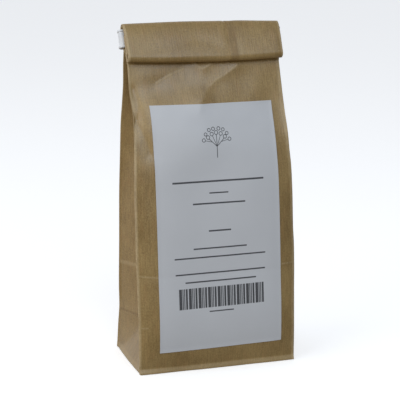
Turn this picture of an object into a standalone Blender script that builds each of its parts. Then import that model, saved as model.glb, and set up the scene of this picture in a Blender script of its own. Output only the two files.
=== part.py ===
"""A filled block-bottom paper bag with its top rolled shut and held by a clip band.

The frame is +Z up, with the origin on the surface under the middle of the bag.
The labelled front faces -Y. The bag is one folded sheet of kraft paper: a tube
with a gusset down each side and a flat bottom, filled for about half its
height. Above the filling the tube closes flat, and its top is rolled forward
three times. A plastic band with two wires lies in the roll, and its ends are
bent back round the flat tube.

Letters name the four layers of the roll, from the back: A is the tube as it
comes up from the bag, then C, D, which holds the open mouth, and B in front.
"""

import math

import bmesh
import bpy
from mathutils import Vector

MM = 0.001

# The paper.
BAG_HALF_WIDTH = 35.0 * MM
BAG_DEPTH = 41.0 * MM
WALL = 0.2 * MM
BOTTOM_THICKNESS = 0.6 * MM
SLIT = 0.12 * MM
PAIR = 2 * WALL + SLIT
LAYER = 2 * PAIR + SLIT
GUSSET_IN_ROLL = 19.5 * MM

# The label, which is off the middle by half a millimetre.
LABEL_LEFT = -27.2 * MM
LABEL_RIGHT = 28.2 * MM
LABEL_COLUMN = 14.0 * MM
LABEL_BOTTOM = 9.5 * MM
LABEL_TOP = 114.5 * MM
LABEL_GAP = 0.3 * MM
LABEL_THICKNESS = 0.25 * MM

# The clip band.
BEAD_RADIUS = 0.6 * MM
BORE_RADIUS = 0.4 * MM
WIRE_RADIUS = 0.22 * MM
BEAD_SPACING = 6.9 * MM
BAND_LENGTH = 120.0 * MM
BAND_CLEARANCE = 0.25 * MM

# The filling, and the block that shapes its top.
LID_HALF_WIDTH = 40.0 * MM
LID_HALF_DEPTH = 24.0 * MM
FILL_HEIGHT = 78.0 * MM
FILL_CLEARANCE = 0.35 * MM
BERRY_SPACING = 4.6 * MM
BERRY_RELIEF = 1.5 * MM
HEAP_RISE = 4.0 * MM
FILL_RINGS = (3, 91)

# The roll: its slope, and a point on layer A's middle plane as (y, z). The turns
# are points of the roll's own plane: forward of layer A's middle, and up along it.
# Layer A is still loose where it leaves the body, and flat from FLAT_FROM up.
ROLL_LEAN = math.radians(22.0)
ROLL_POINT = Vector((6.1 * MM, 141.4 * MM))
BAND_MIDDLE = BEAD_SPACING / 2
TOP_TURN = Vector((2.12 * MM, 6.8 * MM))
TOP_TURN_RADIUS = 2.7 * MM
BOTTOM_TURN = Vector((4.74 * MM, -5.55 * MM))
BOTTOM_TURN_RADIUS = 2.46 * MM
INNER_TURN = Vector((3.54 * MM, 3.5 * MM))
INNER_TURN_RADIUS = 0.1 * MM + LAYER
MOUTH_LEVEL = -4.6 * MM
FLAT_FROM = -1.3 * MM
LOOSE_FRONT = Vector((2.3 * MM, 134.7 * MM))
LOOSE_BACK = Vector((5.3 * MM, 134.5 * MM))
UPPER_FRONT_LEAN = math.radians(22.0)
LOWER_FRONT_LEAN = math.radians(5.7)

# The body of the bag, by height: where its front and back edges stand, how far
# its panels swell between the edges, how far each gusset is folded in, and half
# its width. Millimetres.
HEIGHTS = (0, 0.8, 3, 9.5, 20.5, 31, 41.5, 52, 64, 75, 83, 91, 99, 107, 114.5, 122, 127, 131)
FRONT_EDGE = (
    (0, -20.4), (9.5, -20), (41.5, -17.7), (75, -15), (91, -12.6), (107, -8.7), (122, -2.5), (131, 1.2),
)
BACK_EDGE = (
    (0, 20.6), (9.5, 20), (20.5, 18.5), (41.5, 17), (75, 15.4), (91, 12.9), (107, 9.6), (122, 7),
    (131, 5.6),
)
FRONT_SWELL = (
    (0, 0.2), (9.5, 2), (31, 3.2), (52, 3.2), (83, 2.6), (107, 2.2), (122, 1.2), (131, 0.1),
)
BACK_SWELL = (
    (0, 0.2), (9.5, 2.5), (31, 2.9), (52, 2.9), (83, 2.2), (107, 1.2), (122, 0.5), (131, 0),
)
GUSSET_FOLD = (
    (0, 0.1), (9.5, 4.5), (20.5, 8.5), (41.5, 10.5), (75, 11.8), (83, 13), (91, 15.4), (107, 18.2),
    (131, 19.5),
)
HALF_WIDTH = (
    (0, 34.6), (0.8, 35), (9.5, 35), (31, 35.3), (64, 35.6), (91, 35.1), (114.5, 34.6), (131, 35),
)
# The swell is flat-topped over the filling and rounder above this height.
ROUND_SWELL_FROM = 90
FLAT_SWELL_POWER = 6.0
ROUND_SWELL_POWER = 2.5


def between(table, height_mm):
    """The table's value at a height, on straight lines between its points."""
    for (low, first), (high, last) in zip(table, table[1:]):
        if height_mm <= high:
            return first + (last - first) * (height_mm - low) / (high - low)
    return table[-1][1]


# Cross-sections ---------------------------------------------------------------
#
# A cross-section is a closed list of (x, depth) points, in the plane across the
# tube, with depth measured from the front panel to the back panel.


COLUMNS = 7
PAIR_POINTS = (COLUMNS, COLUMNS + 3, 2 * COLUMNS + 4, 2 * COLUMNS + 7)


def section(depth, half_width, fold, crease_gap, front_swell, back_swell, power):
    """The tube's outline: front panel, right gusset, back panel, left gusset."""
    columns = (-half_width, LABEL_LEFT, -LABEL_COLUMN, 0.0, LABEL_COLUMN, LABEL_RIGHT, half_width)

    def swell(x):
        return 1 - abs(x / half_width) ** power

    front = [(x, -front_swell * swell(x)) for x in columns]
    back = [(x, depth + back_swell * swell(x)) for x in reversed(columns)]
    pair = min(PAIR, 0.4 * depth)
    creases = (depth / 2 - crease_gap / 2, depth / 2 + crease_gap / 2)
    gusset = [(half_width, pair)]
    gusset += [(half_width - fold, crease) for crease in creases]
    gusset += [(half_width, depth - pair)]
    other_gusset = [(-x, crease) for x, crease in reversed(gusset)]
    return front + gusset + back + other_gusset


def inset(outline, distance):
    """The outline moved inwards by a distance, with its corners mitred."""
    moved = []
    for index, point in enumerate(outline):
        before = Vector(point) - Vector(outline[index - 1])
        after = Vector(outline[(index + 1) % len(outline)]) - Vector(point)
        normals = [Vector((-edge.y, edge.x)).normalized() for edge in (before, after)]
        mitre = (normals[0] + normals[1]) / (1 + normals[0].dot(normals[1]))
        moved.append(tuple(Vector(point) + mitre * distance))
    return moved


class Station:
    """One cross-section in its place: its front and back points are (y, z)."""

    def __init__(self, front, back, outline):
        self.front = Vector(front)
        self.across = (Vector(back) - self.front).normalized()
        self.outline = outline

    def ring(self, distance=0.0, with_pairs=True):
        """The outline's points in space. Without pairs, each corner is one point."""
        outline = self.outline
        if not with_pairs:
            outline = [point for index, point in enumerate(outline) if index not in PAIR_POINTS]
        if distance:
            outline = inset(outline, distance)
        points = []
        for x, depth in outline:
            place = self.front + self.across * depth
            points.append(Vector((x, place.x, place.y)))
        return points


def body_station(height_mm):
    front = between(FRONT_EDGE, height_mm) * MM
    back = between(BACK_EDGE, height_mm) * MM
    depth = back - front
    apex_mm = BAG_DEPTH / MM / 2
    triangle = max(0.0, 1 - height_mm / apex_mm) * (depth - 4 * PAIR)
    swell_power = ROUND_SWELL_POWER if height_mm > ROUND_SWELL_FROM else FLAT_SWELL_POWER
    outline = section(
        depth,
        between(HALF_WIDTH, height_mm) * MM,
        between(GUSSET_FOLD, height_mm) * MM,
        max(SLIT, triangle),
        between(FRONT_SWELL, height_mm) * MM,
        between(BACK_SWELL, height_mm) * MM,
        swell_power,
    )
    height = height_mm * MM
    return Station((front, height), (back, height), outline)


# The roll ---------------------------------------------------------------------


def roll_to_world(forward, up):
    """(y, z) of a point given forward of layer A's middle plane and up along it."""
    rise = up - BAND_MIDDLE
    y = ROLL_POINT.x + rise * math.sin(ROLL_LEAN) - forward * math.cos(ROLL_LEAN)
    z = ROLL_POINT.y + rise * math.cos(ROLL_LEAN) + forward * math.sin(ROLL_LEAN)
    return y, z


def closed_station(front, back):
    """The closed tube, with its gussets folded in, between two (y, z) points."""
    depth = (Vector(back) - Vector(front)).length
    outline = section(depth, BAG_HALF_WIDTH, GUSSET_IN_ROLL, SLIT, 0.0, 0.0, FLAT_SWELL_POWER)
    return Station(front, back, outline)


def flat_station(inner, outer):
    """The closed tube in the roll. Its front panel is on the inner side of each turn."""
    return closed_station(roll_to_world(*inner), roll_to_world(*outer))


def turn_stations(centre, radius, start, end, steps):
    """The flat tube on its way round a fold, between two angles in degrees."""
    stations = []
    for step in range(steps + 1):
        angle = math.radians(start + (end - start) * step / steps)
        direction = Vector((math.cos(angle), math.sin(angle)))
        stations.append(flat_station(centre + direction * (radius - LAYER), centre + direction * radius))
    return stations


def front_layer_bend():
    """The station where layer B turns from its steep top to its lower part."""
    lean = UPPER_FRONT_LEAN
    start = TOP_TURN + Vector((math.cos(lean), math.sin(lean))) * TOP_TURN_RADIUS
    run = (start.y - INNER_TURN.y) / math.cos(lean)
    outer = start + Vector((math.sin(lean), -math.cos(lean))) * run
    middle = (UPPER_FRONT_LEAN + LOWER_FRONT_LEAN) / 2
    inner = outer - Vector((math.cos(middle), math.sin(middle))) * LAYER / math.cos(lean - middle)
    return flat_station(inner, outer)


def roll_stations():
    half = LAYER / 2
    stations = [
        closed_station(LOOSE_FRONT, LOOSE_BACK),
        flat_station(Vector((half, FLAT_FROM)), Vector((-half, FLAT_FROM))),
    ]
    stations += turn_stations(TOP_TURN, TOP_TURN_RADIUS, 180, math.degrees(UPPER_FRONT_LEAN), 6)
    stations.append(front_layer_bend())
    stations += turn_stations(BOTTOM_TURN, BOTTOM_TURN_RADIUS, math.degrees(LOWER_FRONT_LEAN), -180, 7)
    stations += turn_stations(INNER_TURN, INNER_TURN_RADIUS, 180, 0, 6)
    inner = Vector((INNER_TURN.x + INNER_TURN_RADIUS - LAYER, MOUTH_LEVEL))
    outer = Vector((INNER_TURN.x + INNER_TURN_RADIUS, MOUTH_LEVEL))
    stations.append(flat_station(inner, outer))
    return stations


# Meshes -----------------------------------------------------------------------


def strip(bm, first, second, closed=True):
    """Triangles between two rows of vertices, all split the same way."""
    last = len(first) if closed else len(first) - 1
    for index in range(last):
        following = (index + 1) % len(first)
        bm.faces.new((first[index], first[following], second[following]))
        bm.faces.new((first[index], second[following], second[index]))


def finish(bm, name, material=None):
    """An object of this closed mesh, with its faces turned outwards."""
    bmesh.ops.recalc_face_normals(bm, faces=bm.faces)
    if bm.calc_volume(signed=True) < 0:
        bmesh.ops.reverse_faces(bm, faces=bm.faces)
    mesh = bpy.data.meshes.new(name)
    bm.to_mesh(mesh)
    bm.free()
    obj = bpy.data.objects.new(name, mesh)
    if material:
        obj.data.materials.append(material)
    bpy.context.scene.collection.objects.link(obj)
    return obj


def principled(name, colour, roughness, metallic=0.0):
    material = bpy.data.materials.new(name)
    material.use_nodes = True
    shader = material.node_tree.nodes["Principled BSDF"]
    shader.inputs["Base Color"].default_value = (*colour, 1)
    shader.inputs["Roughness"].default_value = roughness
    shader.inputs["Metallic"].default_value = metallic
    return material


def build_bag(material):
    """The paper: outer skin up to the mouth, then inner skin back to the bottom."""
    stations = [body_station(height) for height in HEIGHTS] + roll_stations()
    bm = bmesh.new()
    outer = [[bm.verts.new(point) for point in station.ring()] for station in stations]
    inner = []
    for station in stations[2:]:
        inner.append([bm.verts.new(point) for point in station.ring(WALL)])
    floor = [bm.verts.new((v.co.x, v.co.y, BOTTOM_THICKNESS)) for v in inner[0]]
    inner.insert(0, floor)
    for skin in (outer, inner):
        for first, second in zip(skin, skin[1:]):
            strip(bm, first, second)
        bm.faces.new(skin[0])
    strip(bm, outer[-1], inner[-1])
    return finish(bm, "paper_bag", material)


def build_label(material):
    """A sheet over the front panel, on the same columns and heights as the paper."""
    columns = slice(1, 6)
    rows = []
    for height in HEIGHTS:
        if LABEL_BOTTOM / MM <= height <= LABEL_TOP / MM:
            rows.append(body_station(height).ring()[columns])
    bm = bmesh.new()
    sheets = []
    for distance in (LABEL_GAP, LABEL_GAP + LABEL_THICKNESS):
        sheets.append([[bm.verts.new(point + Vector((0, -distance, 0))) for point in row] for row in rows])
    for sheet in sheets:
        for first, second in zip(sheet, sheet[1:]):
            strip(bm, first, second, closed=False)
    near, far = sheets
    strip(bm, near[0], far[0], closed=False)
    strip(bm, near[-1], far[-1], closed=False)
    for side in (0, -1):
        strip(bm, [row[side] for row in near], [row[side] for row in far], closed=False)
    return finish(bm, "label", material)


# The clip band ----------------------------------------------------------------


def band_path():
    """(x, forward, direction) along the band, from one tip round to the other."""
    offset = LAYER / 2 + BAND_CLEARANCE + BEAD_RADIUS
    bend_length = math.pi * offset
    tail = (BAND_LENGTH - 2 * BAG_HALF_WIDTH - 2 * bend_length) / 2
    steps = 6
    half = [(BAG_HALF_WIDTH - tail, -offset, Vector((1, 0)))]
    for step in range(steps + 1):
        angle = -math.pi / 2 + math.pi * step / steps
        x = BAG_HALF_WIDTH + offset * math.cos(angle)
        half.append((x, offset * math.sin(angle), Vector((-math.sin(angle), math.cos(angle)))))
    mirrored = [(-x, forward, Vector((way.x, -way.y))) for x, forward, way in reversed(half)]
    return half + mirrored


def band_point(stop, up, outward):
    """A point of the band's cross-section: up the slope, and off its middle line."""
    x, forward, way = stop
    normal = Vector((way.y, -way.x))
    x += normal.x * outward
    forward += normal.y * outward
    y, z = roll_to_world(forward, up)
    return Vector((x, y, z))


def octagon(centre_up, radius):
    """Eight (up, outward) points, two of whose edges face straight up and down."""
    points = []
    for corner in range(8):
        angle = math.radians(22.5 + 45 * corner)
        points.append((centre_up + radius * math.cos(angle), radius * math.sin(angle)))
    return points


def swept_rings(bm, profile):
    rings = []
    for stop in band_path():
        rings.append([bm.verts.new(band_point(stop, up, outward)) for up, outward in profile])
    return rings


def build_band(material):
    """Two tubes joined by a web between their facing edges."""
    bm = bmesh.new()
    lower = swept_rings(bm, octagon(0.0, BEAD_RADIUS))
    upper = swept_rings(bm, octagon(BEAD_SPACING, BEAD_RADIUS))
    bores = [swept_rings(bm, octagon(level, BORE_RADIUS)) for level in (0.0, BEAD_SPACING)]
    # Edge 7-0 of the lower tube faces up, and edge 3-4 of the upper one down.
    webs = [[[low[7], low[0]] for low in lower], [[high[4], high[3]] for high in upper]]
    for rings, start in ((lower, 0), (upper, 4)):
        arcs = [[ring[(start + step) % 8] for step in range(8)] for ring in rings]
        for first, second in zip(arcs, arcs[1:]):
            strip(bm, first, second, closed=False)
    for side in (0, 1):
        row_low = [pair[side] for pair in webs[0]]
        row_high = [pair[side] for pair in webs[1]]
        strip(bm, row_low, row_high, closed=False)
    for bore in bores:
        for first, second in zip(bore, bore[1:]):
            strip(bm, first, second)
    for end in (0, -1):
        strip(bm, lower[end], bores[0][end])
        strip(bm, upper[end], bores[1][end])
        strip(bm, webs[0][end], webs[1][end], closed=False)
    return finish(bm, "clip_band", material)


def build_wire(name, level, material):
    bm = bmesh.new()
    rings = swept_rings(bm, octagon(level, WIRE_RADIUS))
    for first, second in zip(rings, rings[1:]):
        strip(bm, first, second)
    bm.faces.new(rings[0])
    bm.faces.new(rings[-1])
    return finish(bm, name, material)


# The filling ------------------------------------------------------------------


def berry_lid():
    """A block over the filling. Its underside is a hexagonal pyramid for each berry."""
    pitch = BERRY_SPACING / math.sqrt(3)
    row_step = pitch * math.sqrt(3) / 2
    rows = int(2 * LID_HALF_DEPTH / row_step)
    columns = int(2 * LID_HALF_WIDTH / pitch)
    bm = bmesh.new()
    grid = []
    for row in range(rows + 1):
        line = []
        for column in range(columns + 1):
            x = (column - columns / 2 + (row % 2) / 2) * pitch
            y = (row - rows / 2) * row_step
            heap = HEAP_RISE * (1 - (x / BAG_HALF_WIDTH) ** 2) * (1 - (y / BAG_DEPTH * 2) ** 2)
            is_berry = (column + 2 * (row % 2)) % 3 == 0
            rise = BERRY_RELIEF if is_berry else 0.0
            line.append(bm.verts.new((x, y, FILL_HEIGHT + heap + rise)))
        grid.append(line)
    for row, (first, second) in enumerate(zip(grid, grid[1:])):
        for column in range(columns):
            a, b, c, d = first[column], first[column + 1], second[column + 1], second[column]
            if row % 2:
                triangles = ((a, b, c), (a, c, d))
            else:
                triangles = ((a, b, d), (b, c, d))
            for triangle in triangles:
                bm.faces.new(triangle)
    rim = grid[0] + [line[-1] for line in grid[1:-1]] + grid[-1][::-1] + [line[0] for line in grid[-2:0:-1]]
    roof = [bm.verts.new((v.co.x, v.co.y, 2 * FILL_HEIGHT)) for v in rim]
    strip(bm, rim, roof)
    bm.faces.new(roof)
    lid = finish(bm, "berry_lid")
    lid.hide_render = True
    lid.display_type = "WIRE"
    return lid


def build_filling(material):
    """The berries as one body inside the paper, cut off by the lid's underside."""
    distance = WALL + FILL_CLEARANCE
    bm = bmesh.new()
    rings = []
    for height in HEIGHTS:
        if FILL_RINGS[0] <= height <= FILL_RINGS[1]:
            points = body_station(height).ring(distance, with_pairs=False)
            rings.append([bm.verts.new(point) for point in points])
    base = BOTTOM_THICKNESS + FILL_CLEARANCE
    rings.insert(0, [bm.verts.new((v.co.x, v.co.y, base)) for v in rings[0]])
    for first, second in zip(rings, rings[1:]):
        strip(bm, first, second)
    bm.faces.new(rings[0])
    bm.faces.new(rings[-1])
    filling = finish(bm, "dried_elderberries", material)
    cut = filling.modifiers.new("berry relief", "BOOLEAN")
    cut.operation = "DIFFERENCE"
    cut.object = berry_lid()
    return filling


def main():
    for obj in list(bpy.data.objects):
        bpy.data.objects.remove(obj)
    kraft = principled("kraft paper", (0.27, 0.19, 0.10), 0.75)
    white_paper = principled("label paper", (0.62, 0.65, 0.72), 0.6)
    plastic = principled("white plastic", (0.78, 0.80, 0.84), 0.4)
    steel = principled("tinned steel", (0.55, 0.55, 0.56), 0.35, 1.0)
    berry = principled("dried berry skin", (0.035, 0.014, 0.018), 0.7)
    build_bag(kraft)
    build_label(white_paper)
    build_band(plastic)
    build_wire("clip_wire_lower", 0.0, steel)
    build_wire("clip_wire_upper", BEAD_SPACING, steel)
    build_filling(berry)


main()
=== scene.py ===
"""Looks of a filled kraft paper bag with a rolled top, a paper label and a clip band.

It is laid out as an add-on: one operator for each piece, one for the stage, and
a panel that lists them. Sizes are in millimetres inside the shape functions, in
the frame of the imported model: +Z up, the labelled front facing -Y.
"""

import math

import bpy
import numpy as np
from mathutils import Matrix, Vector


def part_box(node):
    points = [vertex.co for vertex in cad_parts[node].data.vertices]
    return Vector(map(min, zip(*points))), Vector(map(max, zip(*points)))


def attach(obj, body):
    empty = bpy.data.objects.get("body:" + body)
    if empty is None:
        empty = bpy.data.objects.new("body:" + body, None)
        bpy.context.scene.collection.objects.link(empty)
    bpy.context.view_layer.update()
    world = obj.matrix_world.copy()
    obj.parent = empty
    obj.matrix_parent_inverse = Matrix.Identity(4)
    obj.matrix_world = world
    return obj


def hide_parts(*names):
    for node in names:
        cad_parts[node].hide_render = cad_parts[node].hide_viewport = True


bl_info = {
    "name": "Rolled Paper Bag",
    "version": (1, 0, 0),
    "blender": (4, 5, 0),
    "location": "View3D > Sidebar > Paper Bag",
    "description": "Builds a filled block-bottom paper bag with a label and a clip band",
    "category": "Add Mesh",
}

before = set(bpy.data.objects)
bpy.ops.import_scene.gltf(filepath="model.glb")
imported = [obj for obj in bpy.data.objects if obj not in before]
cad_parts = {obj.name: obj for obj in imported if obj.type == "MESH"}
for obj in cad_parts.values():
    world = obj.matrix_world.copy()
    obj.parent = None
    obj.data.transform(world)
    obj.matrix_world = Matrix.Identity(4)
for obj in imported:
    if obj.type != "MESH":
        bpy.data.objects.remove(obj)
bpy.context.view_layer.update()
BAG_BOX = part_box("paper_bag")
LABEL_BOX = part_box("label")
BERRY_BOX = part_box("dried_elderberries")

MM = 0.001
# One unit of every UV map, in millimetres of paper.
UV_UNIT = 100

# The folded sheet, in millimetres. A pair is two sheets laid together, and a layer is the
# flat tube of four, with a slit where its gussets meet. The seam's upper sheet ends at
# SEAM_OVER, and the lower one at SEAM_UNDER.
HALF_WIDTH_FLAT = 35.0
GUSSET_PAPER = 41.0
PAIR = 0.52
LAYER = 1.16
SLIT = 0.12
GUSSET_IN_ROLL = 19.5
SEAM_OVER = 10.4
SEAM_UNDER = 14.2
SEAM_STEP = 0.16

# How far the band stands off the flat tube, how far its wires' ends stand out of it, and
# how far the filling keeps from the paper.
BAND_CLEARANCE = 0.25
WIRE_END = 0.08
FILL_GAP = 1.2

# The body of the bag, by height: where its front and back edges stand, how far its
# panels swell between them, how far the gussets are folded in, and half its width.
FRONT_EDGE = (
    (0, -20), (9.5, -20), (41.5, -17.7), (75, -15), (91, -13.1), (100, -11.3), (107, -8.8), (122, -2.9),
    (131, -0.8),
)
BACK_EDGE = (
    (0, 20.6), (9.5, 20), (20.5, 18.5), (41.5, 17), (75, 15.4), (91, 12.9), (107, 9.6), (122, 7),
    (131, 5.6),
)
FRONT_SWELL = (
    (0, 0.2), (9.5, 2), (31, 3.2), (52, 3.2), (83, 2.8), (99, 2.7), (110, 2.5), (122, 1.2), (131, 0.1),
)
BACK_SWELL = (
    (0, 0.2), (9.5, 2.5), (31, 2.9), (52, 2.9), (83, 2.2), (107, 1.2), (122, 0.5), (131, 0),
)
GUSSET_FOLD = (
    (0, 0.1), (9.5, 4.5), (20.5, 8.5), (41.5, 10.5), (75, 11.8), (83, 13), (91, 15.4), (107, 18.2),
    (131, 19.5),
)
GUSSET_OPEN = (
    (0, 20.2), (2.1, 15.8), (4.7, 11.6), (7.1, 9), (9.5, 7.2), (13.5, 4.6), (20.5, 0.06), (21, 0.06),
)
FRONT_RIGHT = (
    (0, 35.2), (20, 35.3), (31, 35.5), (41, 35.75), (50, 35.8), (62, 35.45), (72, 35.45), (80, 35.35),
    (88, 35.1), (93, 34.7), (103, 34.4), (111, 34.15), (120, 34.2), (131, 33.75),
)
FRONT_LEFT = (
    (0, 35.9), (41.5, 35.95), (50, 36.1), (64, 36), (80, 35.8), (91, 35.3), (100, 34.85), (111, 34.2),
    (120, 34.7), (131, 34.7),
)
BACK_HALF = (
    (0, 35.9), (4, 35.6), (12, 35.3), (20.5, 35), (31, 35.3), (64, 35.1), (80, 35.1), (93, 35.2),
    (105, 35.4), (114.5, 35.1), (122, 34.9), (131, 35.1),
)
SIDE_BOW = ((0, 0.4), (3, 0.4), (9.5, 0.2), (20.5, 0), (21, 0))
BODY_TOP = 131.0

# The roll's plane leans back, and its points are forward of layer A and up along it.
# Layer A is the tube as it comes up from the bag, behind the roll's other turns. A turn
# is the middle of a fold and its outer radius.
ROLL_LEAN = math.radians(22)
ROLL_POINT = (6.1, 141.4)
BEAD_SPACING = 6.9
TOP_TURN = ((2.12, 6.8), 2.7)
BOTTOM_TURN = ((5.1, -5.95), 2.1)
INNER_TURN = ((3.54, 3.5), 0.1 + LAYER)
MOUTH_LEVEL = -4.6
LOOSE_FRONT = (0.9, 134.7)
LOOSE_BACK = (5.3, 134.5)
TOP_EDGE = 147.6
ROLL_RISE = 0.6
ROLL_DROOP = 0.8
UPPER_LEAN = 22.0
LOWER_LEAN = 5.7

# The soft crease on the roll's face: (x, way down the face) points.
ROLL_CREASE = ((-33.0, 15.5), (-15.0, 12.5), (-6.0, 10.0), (2.0, 11.0), (9.0, 15.5))

# The crest of the empty front under the roll, as (x, z) points, and all its crinkles, with
# their points, reach to each side, and height. The first three are folds painted with pale lines, partly as
# wear and partly as painted highlight.
CREST = (
    (14.2, 129.6), (8.6, 126.3), (3.8, 123.9), (1.0, 122.0), (-2.0, 119.2), (-4.2, 115.8), (-5.8, 111.5),
)
CRINKLES = (
    (CREST, 4.4, 0.95),
    (((-10.2, 128.9), (-17.3, 126.3), (-22.8, 123.4)), 3.6, -0.42),
    (((-4.9, 131.0), (-1.9, 128.7), (1.8, 130.6)), 1.6, 0.6),
    (((-33.0, 121.0), (-31.6, 115.0), (-32.5, 108.5)), 1.5, -1.1),
    (((-32.5, 108.5), (-30.4, 101.2), (-28.4, 95.0)), 2.6, -1.1),
)


# Shapes -----------------------------------------------------------------------


def eased(table, level):
    """The table's value at a level, on a smooth curve that keeps to its points."""
    at, value = np.array(table, float).T
    level = np.clip(level, at[0], at[-1])
    steps = np.diff(at)
    rises = np.diff(value) / steps
    slopes = np.concatenate([rises[:1], (rises[:-1] + rises[1:]) / 2, rises[-1:]])
    slopes[1:-1][rises[:-1] * rises[1:] <= 0] = 0
    index = np.clip(np.searchsorted(at, level) - 1, 0, len(steps) - 1)
    step = steps[index]
    t = (level - at[index]) / step
    return (
        value[index] * (1 + 2 * t) * (1 - t) ** 2
        + slopes[index] * step * t * (1 - t) ** 2
        + value[index + 1] * t * t * (3 - 2 * t)
        + slopes[index + 1] * step * t * t * (t - 1)
    )


def ramp(value, low, high):
    """0 below low, 1 above high, and a smooth rise between."""
    t = np.clip((value - low) / (high - low), 0, 1)
    return t * t * (3 - 2 * t)


def bell(value, centre, width):
    """1 at the centre, and a smooth fall to 0 on both sides."""
    return np.exp(-(((value - centre) / width) ** 2))


def from_line(x, z, points):
    """How far each (x, z) is from a line through several points."""
    nearest = np.full(np.shape(x), 1e9)
    for (ax, az), (bx, bz) in zip(points, points[1:]):
        run_x, run_z = bx - ax, bz - az
        t = np.clip(((x - ax) * run_x + (z - az) * run_z) / (run_x**2 + run_z**2), 0, 1)
        nearest = np.minimum(nearest, np.hypot(x - ax - t * run_x, z - az - t * run_z))
    return nearest


def ripple(x, z, size, seed):
    """A gentle unevenness, mostly between -1 and 1 over the sheet, made of a few waves."""
    rng = np.random.default_rng(seed)
    waves = 9
    total = 0
    for _ in range(waves):
        heading, phase, stretch = rng.uniform(0, math.tau), rng.uniform(0, math.tau), rng.uniform(0.7, 1.6)
        way = x * math.cos(heading) + z * math.sin(heading)
        total = total + np.sin(way * math.tau / (size * stretch) + phase)
    return total / (waves / 2)


def panel_swell(swell, half, x, z):
    """How far a panel swells at (x, z), and a value that falls from 1 to 0 at its folds."""
    side = np.clip(np.abs(x) / half, 0, 1)
    # The swell is flat-topped over the filling, and rounder above it.
    power = 6 - 3.5 * ramp(z, 80, 100)
    return eased(swell, z) * (1 - side**power), 1 - side**8


def front_depth(x, z, crease=1.0):
    """Where the front panel stands, as y over (x, z). Its creases can be made fainter."""
    half = np.where(x < 0, eased(FRONT_LEFT, z), eased(FRONT_RIGHT, z))
    swell, inside = panel_swell(FRONT_SWELL, half, x, z)
    # The upper front stands forward most a little left of the middle.
    swell = swell + 0.7 * bell(x, -7, 14) * ramp(z, 84, 100) * (1 - ramp(z, 112, 124))
    # Where the filling ends, the sheet bends back along a line that rises to the left.
    bend = eased(FRONT_EDGE, z) - eased(FRONT_EDGE, z + 0.13 * x)
    bend = bend * inside * ramp(z, 76, 92) * (1 - ramp(z, 108, 122))
    slack = ramp(z, 92, 112) * (1 - 0.6 * ramp(z, 126, 131))
    relief = bend + (0.10 * ripple(x, z, 26, 3) + 0.16 * ripple(x, z, 15, 5) * slack) * inside
    for points, reach, height in CRINKLES:
        # Each is sharp but for half a millimetre of rounding, and a crest fades at the label.
        keep = ramp(z, 104, 116) if height > 0 else crease
        relief = relief + keep * height * np.exp(-np.hypot(from_line(x, z, points), 0.55) / reach)
    # The crease that stays from when the bottom was folded flat against the front.
    relief = relief - 0.16 * crease * bell(z, 42.4, 1.3)
    # The strip along the bottom fold leans out.
    relief = relief + 1.1 * np.clip((2.4 + 0.2 * ripple(x, x, 30, 23) - z) / 2.2, 0, 1)
    return eased(FRONT_EDGE, z) - swell - relief


def back_depth(x, z):
    """Where the back panel stands, as y over (x, z)."""
    swell, inside = panel_swell(BACK_SWELL, eased(BACK_HALF, z), x, z)
    relief = (0.12 * ripple(x, z, 24, 11) + 0.18 * ripple(x, z, 16, 13) * ramp(z, 90, 112)) * inside
    relief = relief - 0.22 * bell(z, 42.0, 1.5) + 0.35 * np.clip(1 - z / 2.2, 0, 1)
    return eased(BACK_EDGE, z) + swell + relief


def roll_to_world(forward, up):
    """(y, z) of a point given forward of layer A's middle plane and up along it."""
    rise = up - BEAD_SPACING / 2
    y = ROLL_POINT[0] + rise * math.sin(ROLL_LEAN) - forward * math.cos(ROLL_LEAN)
    z = ROLL_POINT[1] + rise * math.cos(ROLL_LEAN) + forward * math.sin(ROLL_LEAN)
    return y, z


def turn(centre, radius, start, end, steps):
    """The flat tube on its way round a fold: pairs of (inner, outer) points."""
    pairs = []
    for step in range(steps + 1):
        angle = math.radians(start + (end - start) * step / steps)
        way = (math.cos(angle), math.sin(angle))
        pairs.append([(centre[0] + way[0] * r, centre[1] + way[1] * r) for r in (radius - LAYER, radius)])
    return pairs


def between_pairs(first, last, steps):
    """Pairs on the straight run from one pair to another, without its two ends."""
    first, last = np.array(first), np.array(last)
    return [list(map(tuple, first + (last - first) * step / steps)) for step in range(1, steps)]


def roll_pairs():
    """The whole roll as (inner, outer) points of its plane, from layer A to the mouth."""
    half = LAYER / 2
    start = [(half, -1.3), (-half, -1.3)]
    top = turn(*TOP_TURN, 180, UPPER_LEAN, 12)
    bottom = turn(*BOTTOM_TURN, LOWER_LEAN, -180, 14)
    inner = turn(*INNER_TURN, 180, 0, 10)
    lean, low_lean = math.radians(UPPER_LEAN), math.radians(LOWER_LEAN)
    first, last = np.array(top[-1][1]), np.array(bottom[0][1])
    run = (first[1] - INNER_TURN[0][1]) / math.cos(lean)
    bend = first + np.array((math.sin(lean), -math.cos(lean))) * run
    face = []
    for t in spaced(0, 1, 17)[1:-1]:
        outer = first * (1 - t) ** 2 + bend * 2 * t * (1 - t) + last * t * t
        angle = lean + (low_lean - lean) * t
        face.append([tuple(outer - np.array((math.cos(angle), math.sin(angle))) * LAYER), tuple(outer)])
    mouth_x = INNER_TURN[0][0] + INNER_TURN[1]
    mouth = [(mouth_x - LAYER, MOUTH_LEVEL), (mouth_x, MOUTH_LEVEL)]
    pairs = [start] + between_pairs(start, top[0], 5) + top
    pairs += face + bottom
    pairs += between_pairs(bottom[-1], inner[0], 5) + inner + between_pairs(inner[-1], mouth, 5) + [mouth]
    return pairs


# Mesh helpers -----------------------------------------------------------------


def only(obj):
    """Makes this object the only one selected, and the active one."""
    bpy.ops.object.select_all(action="DESELECT")
    obj.select_set(True)
    bpy.context.view_layer.objects.active = obj


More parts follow.
